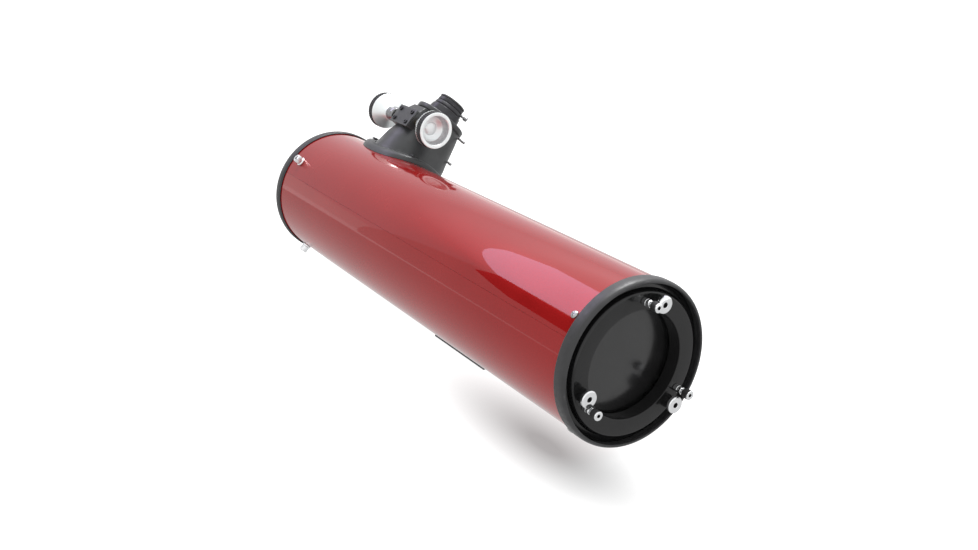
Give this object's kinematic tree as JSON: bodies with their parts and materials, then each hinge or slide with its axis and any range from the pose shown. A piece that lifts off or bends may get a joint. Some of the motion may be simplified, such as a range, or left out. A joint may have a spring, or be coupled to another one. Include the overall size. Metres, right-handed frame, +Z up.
{
  "type": "newtonian telescope tube",
  "caption": "Short reflector telescope tube with rack-and-pinion focuser, four-vane spider, tilting primary mirror cell and dovetail bar.",
  "frame": {"origin": "centre of the dovetail bar's flat outer face", "axes": "+Y along the tube towards its open sky end, +Z up from the dovetail face through the tube's axis, the focuser leans to +X"},
  "size_m": [0.2143, 0.6385, 0.2233],
  "materials": {
    "red_paint": "high-gloss red enamel on rolled steel",
    "black_satin": "satin black moulding",
    "black_casting": "satin black powder coat on a casting",
    "black_metal": "matt black paint on metal",
    "black_anodised": "black anodised",
    "black_plastic": "soft black plastic",
    "chrome": "polished",
    "steel": "zinc-plated",
    "black_screw": "blackened",
    "rubber": "ribbed black rubber",
    "brass": "turned",
    "mirror_glass": "aluminised glass"
  },
  "bodies": {
    "optical_tube": {"tube": "red_paint", "front_ring": "black_satin", "rear_ring": "black_satin", "back_plate": "black_satin", "spider_hub": "black_metal", "focuser_housing": "black_casting", "pinion_cover": "black_casting", "dovetail_bar": "black_metal", "collimation_spring_1": "steel", "collimation_spring_2": "steel", "collimation_spring_3": "steel", "spider_vane_1": "black_metal", "cell_screw_1": "steel", "cover_screw_1": "black_screw", "focuser_screw_1": "black_screw", "spider_vane_2": "black_metal", "cell_screw_2": "steel", "cover_screw_2": "black_screw", "focuser_screw_2": "black_screw", "spider_vane_3": "black_metal", "cell_screw_3": "steel", "cover_screw_3": "black_screw", "focuser_screw_3": "black_screw", "spider_vane_4": "black_metal", "cell_screw_4": "steel", "cover_screw_4": "black_screw", "focuser_screw_4": "black_screw", "dovetail_bolt_1": "steel", "dovetail_bolt_2": "steel"},
    "focus_knobs": {"pinion_shaft": "brass", "focus_knob_near": "chrome", "focus_knob_far": "chrome", "knob_grip_near": "rubber", "knob_grip_far": "rubber"},
    "drawtube": {"drawtube": "black_anodised", "eyepiece_holder": "black_anodised"},
    "dust_cap": {"dust_cap": "black_plastic"},
    "eyepiece_screw": {"eyepiece_screw": "chrome"},
    "drawtube_lock_screw": {"drawtube_lock_screw": "chrome"},
    "drawtube_tension_screw": {"drawtube_tension_screw": "chrome"},
    "mirror_cell": {"mirror_cell": "black_metal", "primary_mirror": "mirror_glass", "mirror_clip_1": "black_metal", "mirror_clip_2": "black_metal", "mirror_clip_3": "black_metal"},
    "secondary": {"secondary_holder": "black_metal", "secondary_mirror": "mirror_glass"},
    "collimation_screw_1": {"collimation_screw_1": "chrome"},
    "lock_screw_1": {"lock_screw_1": "chrome"},
    "secondary_adjuster_1": {"secondary_adjuster_1": "steel"},
    "collimation_screw_2": {"collimation_screw_2": "chrome"},
    "lock_screw_2": {"lock_screw_2": "chrome"},
    "secondary_adjuster_2": {"secondary_adjuster_2": "steel"},
    "collimation_screw_3": {"collimation_screw_3": "chrome"},
    "lock_screw_3": {"lock_screw_3": "chrome"},
    "secondary_adjuster_3": {"secondary_adjuster_3": "steel"},
    "spider_nut_1": {"spider_nut_1": "chrome"},
    "spider_nut_2": {"spider_nut_2": "chrome"},
    "spider_nut_3": {"spider_nut_3": "chrome"},
    "spider_nut_4": {"spider_nut_4": "chrome"}
  },
  "joints": [
    {"name": "focus_knob_turn", "type": "hinge", "parent": "optical_tube", "child": "focus_knobs", "pos_m": [0.05904, 0.246, 0.19704], "axis": [0, -1, 0], "range_deg": [0, 264]},
    {"name": "drawtube_slide", "type": "slide", "parent": "optical_tube", "child": "drawtube", "axis": [0.7071, 0, 0.7071], "range_m": [0, 0.03]},
    {"name": "dust_cap_lift", "type": "slide", "parent": "drawtube", "child": "dust_cap", "axis": [0.7071, 0, 0.7071], "range_m": [0, 0.025]},
    {"name": "eyepiece_screw_turn", "type": "hinge", "parent": "drawtube", "child": "eyepiece_screw", "pos_m": [0.12602, 0.23278, 0.19582], "axis": [0.5, -0.7071, -0.5], "range_deg": [0, 1080]},
    {"name": "drawtube_lock_turn", "type": "hinge", "parent": "optical_tube", "child": "drawtube_lock_screw", "pos_m": [0.11524, 0.22252, 0.17054], "axis": [0.5, -0.7071, -0.5], "range_deg": [0, 720]},
    {"name": "drawtube_tension_turn", "type": "hinge", "parent": "optical_tube", "child": "drawtube_tension_screw", "pos_m": [0.09641, 0.21715, 0.14411], "axis": [0.5, -0.7071, -0.5], "range_deg": [-180, 360]},
    {"name": "secondary_turn", "type": "hinge", "parent": "optical_tube", "child": "secondary", "pos_m": [0, 0.246, 0.0885], "axis": [0, 1, 0], "range_deg": [-15, 15]},
    {"name": "mirror_cell_tilt", "type": "hinge", "parent": "optical_tube", "child": "mirror_cell", "pos_m": [-0.00977, -0.247, 0.06013], "axis": [0.9455, 0, -0.3256], "range_deg": [-0.53, 0.53]},
    {"name": "collimation_screw_1_turn", "type": "hinge", "parent": "optical_tube", "child": "collimation_screw_1", "pos_m": [0.01953, -0.264, 0.14523], "axis": [0, -1, 0], "range_deg": [-430, 430]},
    {"name": "collimation_screw_2_turn", "type": "hinge", "parent": "optical_tube", "child": "collimation_screw_2", "pos_m": [-0.0589, -0.264, 0.07705], "axis": [0, -1, 0], "range_deg": [-430, 430]},
    {"name": "collimation_screw_3_turn", "type": "hinge", "parent": "optical_tube", "child": "collimation_screw_3", "pos_m": [0.03936, -0.264, 0.04322], "axis": [0, -1, 0], "range_deg": [-430, 430]},
    {"name": "lock_screw_1_turn", "type": "hinge", "parent": "optical_tube", "child": "lock_screw_1", "pos_m": [0.00575, -0.264, 0.14822], "axis": [0, -1, 0], "range_deg": [0, 1080]},
    {"name": "lock_screw_2_turn", "type": "hinge", "parent": "optical_tube", "child": "lock_screw_2", "pos_m": [-0.0546, -0.264, 0.06362], "axis": [0, -1, 0], "range_deg": [0, 1080]},
    {"name": "lock_screw_3_turn", "type": "hinge", "parent": "optical_tube", "child": "lock_screw_3", "pos_m": [0.04885, -0.264, 0.05366], "axis": [0, -1, 0], "range_deg": [0, 1080]},
    {"name": "secondary_adjuster_1_turn", "type": "hinge", "parent": "optical_tube", "child": "secondary_adjuster_1", "pos_m": [-0.00866, 0.327, 0.0835], "axis": [0, 1, 0], "range_deg": [-360, 360]},
    {"name": "secondary_adjuster_2_turn", "type": "hinge", "parent": "optical_tube", "child": "secondary_adjuster_2", "pos_m": [0.00866, 0.327, 0.0835], "axis": [0, 1, 0], "range_deg": [-360, 360]},
    {"name": "secondary_adjuster_3_turn", "type": "hinge", "parent": "optical_tube", "child": "secondary_adjuster_3", "pos_m": [0, 0.327, 0.0985], "axis": [0, 1, 0], "range_deg": [-360, 360]},
    {"name": "spider_nut_1_turn", "type": "hinge", "parent": "optical_tube", "child": "spider_nut_1", "pos_m": [0.0548, 0.319, 0.1433], "axis": [0.7071, 0, 0.7071], "range_deg": [-90, 720]},
    {"name": "spider_nut_2_turn", "type": "hinge", "parent": "optical_tube", "child": "spider_nut_2", "pos_m": [-0.0548, 0.319, 0.1433], "axis": [-0.7071, 0, 0.7071], "range_deg": [-90, 720]},
    {"name": "spider_nut_3_turn", "type": "hinge", "parent": "optical_tube", "child": "spider_nut_3", "pos_m": [-0.0548, 0.319, 0.0337], "axis": [-0.7071, 0, -0.7071], "range_deg": [-90, 720]},
    {"name": "spider_nut_4_turn", "type": "hinge", "parent": "optical_tube", "child": "spider_nut_4", "pos_m": [0.0548, 0.319, 0.0337], "axis": [0.7071, 0, -0.7071], "range_deg": [-90, 720]}
  ],
  "couplings": [
    {"joint": "drawtube_slide", "follows": "focus_knob_turn", "m_per_rad": 0.0065},
    {"joint": "collimation_screw_1_turn", "follows": "mirror_cell_tilt", "ratio": 808}
  ]
}
